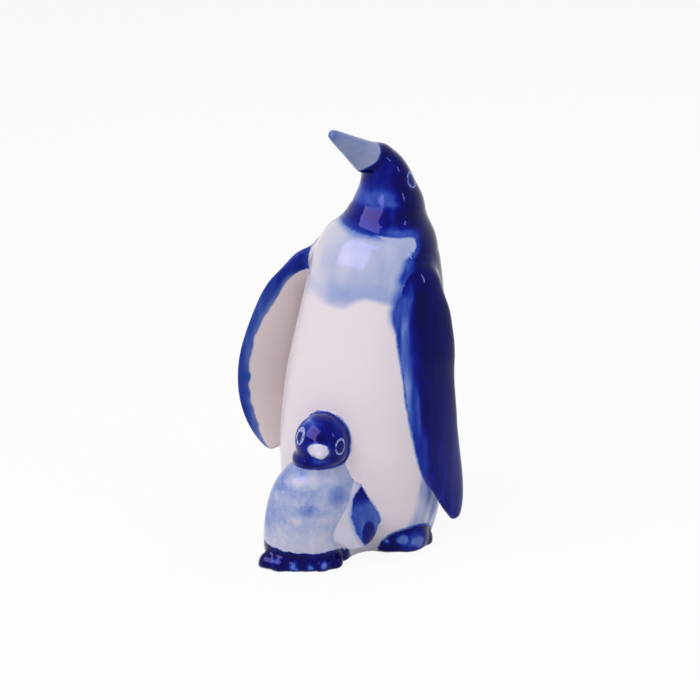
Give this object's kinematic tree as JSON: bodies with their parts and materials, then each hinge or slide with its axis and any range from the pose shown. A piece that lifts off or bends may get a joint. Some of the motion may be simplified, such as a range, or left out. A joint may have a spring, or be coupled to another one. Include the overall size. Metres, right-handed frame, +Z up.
{
  "type": "penguin figurine",
  "caption": "Small glazed porcelain penguin ornament: an adult looking up with its flippers held down and its chick pressed against its belly, on a flat base.",
  "frame": {"origin": "centre of the adult's base on the table plane, z = 0 at the flat underside", "axes": "+Z up through the adult's body, -Y the way the adult's body faces, +X the adult's left side"},
  "size_m": [0.0555, 0.0495, 0.0998],
  "materials": {
    "torso": "clear gloss glaze over white porcelain",
    "head": "clear gloss glaze over cobalt blue brushwork",
    "beak": "clear gloss glaze over a pale cobalt wash",
    "left_flipper": "clear gloss glaze over cobalt blue brushwork",
    "right_flipper": "clear gloss glaze over cobalt blue brushwork, white inside",
    "feet": "clear gloss glaze over cobalt blue brushwork",
    "tail": "clear gloss glaze over cobalt blue brushwork",
    "web": "clear gloss glaze over white porcelain",
    "chick_body": "clear gloss glaze over a sponged pale cobalt wash",
    "chick_head": "clear gloss glaze over cobalt blue brushwork",
    "chick_beak": "clear gloss glaze over white porcelain",
    "chick_flippers": "clear gloss glaze over cobalt blue brushwork, white front edge",
    "chick_feet": "clear gloss glaze over cobalt blue brushwork"
  },
  "bodies": {
    "root": {"torso_shell": "torso", "head_shell": "head", "beak": "beak", "left_flipper": "left_flipper", "right_flipper": "right_flipper", "left_foot": "feet", "right_foot": "feet", "tail": "tail", "ground_web": "web", "chick_body": "chick_body", "chick_head": "chick_head", "chick_beak": "chick_beak", "chick_left_flipper": "chick_flippers", "chick_right_flipper": "chick_flippers", "chick_left_foot": "chick_feet", "chick_right_foot": "chick_feet"}
  },
  "joints": []
}
